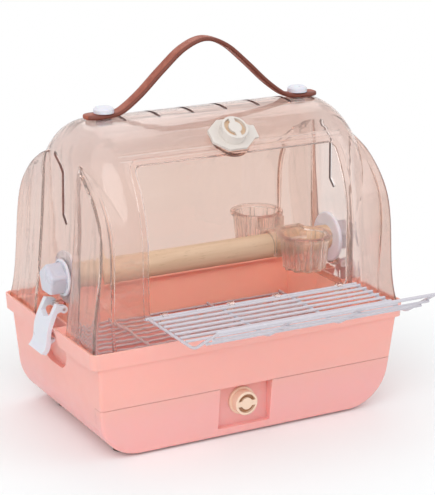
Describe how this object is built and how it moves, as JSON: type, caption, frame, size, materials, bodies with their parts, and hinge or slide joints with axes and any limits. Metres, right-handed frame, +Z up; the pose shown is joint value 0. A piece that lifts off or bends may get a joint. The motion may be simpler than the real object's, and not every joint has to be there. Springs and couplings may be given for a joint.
{
  "type": "pet carrier",
  "caption": "Small bird travel carrier: clear domed hood with a fold-down wire door and strap handle, latched to a tub with a wire floor and a pull-out litter drawer.",
  "frame": {"origin": "on the ground under the middle of the tub", "axes": "+X along the carrier to its right end, -Y to the front with the door and drawer, +Z up"},
  "size_m": [0.3524, 0.3356, 0.3632],
  "materials": {
    "salmon_plastic": "satin",
    "cream_plastic": "satin",
    "foot_rubber": "matte",
    "clear_hood": "gloss",
    "clear_cup": "gloss",
    "coated_wire": "gloss",
    "perch_wood": "matte",
    "strap_leather": "satin",
    "steel": "satin",
    "white_plastic": "satin"
  },
  "bodies": {
    "base": {"base_tub": "salmon_plastic", "foot_front_left": "foot_rubber", "foot_front_right": "foot_rubber", "foot_back_left": "foot_rubber", "foot_back_right": "foot_rubber"},
    "hood": {"hood_shell": "clear_hood", "perch_dowel": "perch_wood", "cup_saddle": "clear_cup", "strap_handle": "strap_leather", "perch_flange_left": "white_plastic", "perch_flange_right": "white_plastic", "perch_stud_left": "steel", "perch_stud_right": "steel", "perch_ring_left": "white_plastic", "perch_ring_right": "white_plastic", "strap_rivet_left": "white_plastic", "strap_rivet_right": "white_plastic", "rivet_nut_left": "white_plastic", "rivet_nut_right": "white_plastic"},
    "floor": {"floor_grille": "coated_wire"},
    "drawer": {"drawer_front": "salmon_plastic", "drawer_tray": "salmon_plastic"},
    "drawer_lock": {"drawer_knob": "cream_plastic"},
    "door": {"wire_door": "coated_wire"},
    "door_lock": {"top_knob": "white_plastic", "top_knob_retainer": "white_plastic"},
    "front_cup": {"feed_cup_front": "clear_cup"},
    "back_cup": {"feed_cup_back": "clear_cup"},
    "left_nut": {"perch_nut_left": "white_plastic"},
    "right_nut": {"perch_nut_right": "white_plastic"},
    "left_latch": {"latch_left": "white_plastic", "latch_pin_left": "steel"},
    "right_latch": {"latch_right": "white_plastic", "latch_pin_right": "steel"}
  },
  "joints": [
    {"name": "hood_lift", "type": "slide", "parent": "base", "child": "hood", "axis": [0, 0, 1], "range_m": [0, 0.12]},
    {"name": "floor_lift", "type": "slide", "parent": "base", "child": "floor", "axis": [0, 0, 1], "range_m": [0, 0.03]},
    {"name": "drawer_slide", "type": "slide", "parent": "base", "child": "drawer", "axis": [0, -1, 0], "range_m": [0, 0.16]},
    {"name": "drawer_lock_turn", "type": "hinge", "parent": "drawer", "child": "drawer_lock", "pos_m": [-0.005, -0.0857, 0.033], "axis": [0, -1, 0], "range_deg": [0, 90]},
    {"name": "door_hinge", "type": "hinge", "parent": "hood", "child": "door", "pos_m": [0, -0.0996, 0.1336], "axis": [-1, 0, 0], "range_deg": [0, 90]},
    {"name": "door_lock_turn", "type": "hinge", "parent": "hood", "child": "door_lock", "pos_m": [0, -0.0524, 0.27765], "axis": [0, -0.6238, 0.7816], "range_deg": [-90, 0]},
    {"name": "front_cup_lift", "type": "slide", "parent": "hood", "child": "front_cup", "axis": [0, 0, 1], "range_m": [0, 0.02]},
    {"name": "back_cup_lift", "type": "slide", "parent": "hood", "child": "back_cup", "axis": [0, 0, 1], "range_m": [0, 0.02]},
    {"name": "left_nut_turn", "type": "hinge", "parent": "hood", "child": "left_nut", "pos_m": [-0.158, 0, 0.15], "axis": [-1, 0, 0], "continuous": true},
    {"name": "right_nut_turn", "type": "hinge", "parent": "hood", "child": "right_nut", "pos_m": [0.158, 0, 0.15], "axis": [1, 0, 0], "continuous": true},
    {"name": "left_latch_swing", "type": "hinge", "parent": "hood", "child": "left_latch", "pos_m": [-0.1524, 0, 0.1242], "axis": [0, 1, 0], "range_deg": [0, 70]},
    {"name": "right_latch_swing", "type": "hinge", "parent": "hood", "child": "right_latch", "pos_m": [0.1524, 0, 0.1242], "axis": [0, -1, 0], "range_deg": [0, 70]}
  ]
}
